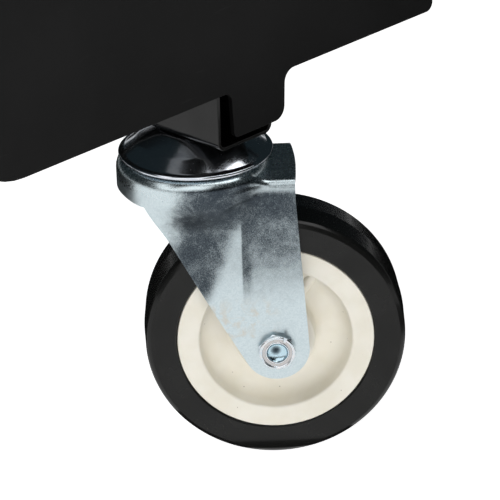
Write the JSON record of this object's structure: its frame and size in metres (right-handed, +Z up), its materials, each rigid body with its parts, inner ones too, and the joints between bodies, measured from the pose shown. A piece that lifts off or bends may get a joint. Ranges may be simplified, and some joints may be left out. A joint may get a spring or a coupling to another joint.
{
  "type": "swivel castor corner",
  "caption": "Folding table undercarriage corner: black steel end plate and cross tube on a zinc swivel castor with a black-tyred cream wheel.",
  "frame": {"origin": "on the swivel axis, at the flat top face of the cross tube", "axes": "+Z up along the swivel axis, +X along the end plate, +Y along the cross tube towards the middle of the table"},
  "size_m": [0.239, 0.1362, 0.232],
  "materials": {
    "black_paint": "satin powder coat",
    "gloss_black_paint": "gloss",
    "bright_zinc": "bright plated",
    "zinc": "zinc plated",
    "blue_zinc": "blue zinc plated",
    "plain_steel": "ground",
    "black_tyre": "moulded gloss",
    "cream_plastic": "moulded",
    "black_plastic": "moulded"
  },
  "bodies": {
    "frame": {"end_plate": "black_paint", "cross_tube": "gloss_black_paint", "tube_end_plug": "black_plastic", "weld_bead_right": "gloss_black_paint", "weld_bead_left": "gloss_black_paint", "race_cap": "bright_zinc", "lower_race_cup": "zinc", "kingpin": "blue_zinc", "weld_nut": "plain_steel"},
    "upper_ball_race": {"upper_ball_01": "plain_steel", "upper_ball_02": "plain_steel", "upper_ball_03": "plain_steel", "upper_ball_04": "plain_steel", "upper_ball_05": "plain_steel", "upper_ball_06": "plain_steel", "upper_ball_07": "plain_steel", "upper_ball_08": "plain_steel", "upper_ball_09": "plain_steel", "upper_ball_10": "plain_steel", "upper_ball_11": "plain_steel", "upper_ball_12": "plain_steel", "upper_ball_13": "plain_steel", "upper_ball_14": "plain_steel", "upper_ball_15": "plain_steel", "upper_ball_16": "plain_steel", "upper_ball_17": "plain_steel", "upper_ball_18": "plain_steel"},
    "lower_ball_race": {"lower_ball_01": "plain_steel", "lower_ball_02": "plain_steel", "lower_ball_03": "plain_steel", "lower_ball_04": "plain_steel", "lower_ball_05": "plain_steel", "lower_ball_06": "plain_steel", "lower_ball_07": "plain_steel", "lower_ball_08": "plain_steel", "lower_ball_09": "plain_steel", "lower_ball_10": "plain_steel", "lower_ball_11": "plain_steel", "lower_ball_12": "plain_steel", "lower_ball_13": "plain_steel", "lower_ball_14": "plain_steel"},
    "swivel": {"fork": "zinc", "axle_bolt": "blue_zinc", "axle_lock_nut": "blue_zinc", "axle_sleeve": "plain_steel", "axle_spacer_far": "blue_zinc", "axle_spacer_near": "blue_zinc", "bearing_inner_ring_far": "plain_steel", "bearing_inner_ring_near": "plain_steel"},
    "bearing_cages": {"bearing_cage_far": "plain_steel", "bearing_cage_near": "plain_steel"},
    "wheel": {"bearing_outer_ring_far": "plain_steel", "bearing_outer_ring_near": "plain_steel", "wheel_core": "cream_plastic", "tyre": "black_tyre"}
  },
  "joints": [
    {"name": "swivel_turn", "type": "hinge", "parent": "frame", "child": "swivel", "pos_m": [0, 0, -0.064], "axis": [0, 0, 1], "continuous": true},
    {"name": "upper_balls_roll", "type": "hinge", "parent": "frame", "child": "upper_ball_race", "pos_m": [0, 0, -0.0599], "axis": [0, 0, 1], "continuous": true},
    {"name": "lower_balls_roll", "type": "hinge", "parent": "frame", "child": "lower_ball_race", "pos_m": [0, 0, -0.0704], "axis": [0, 0, 1], "continuous": true},
    {"name": "wheel_spin", "type": "hinge", "parent": "swivel", "child": "wheel", "pos_m": [0.02014, -0.01945, -0.134], "axis": [0.6947, 0.7193, 0], "continuous": true},
    {"name": "cages_roll", "type": "hinge", "parent": "swivel", "child": "bearing_cages", "pos_m": [0.02014, -0.01945, -0.134], "axis": [0.6947, 0.7193, 0], "continuous": true}
  ],
  "couplings": [
    {"joint": "upper_balls_roll", "follows": "swivel_turn", "ratio": 0.5},
    {"joint": "lower_balls_roll", "follows": "swivel_turn", "ratio": 0.5},
    {"joint": "cages_roll", "follows": "wheel_spin", "ratio": 0.62}
  ]
}
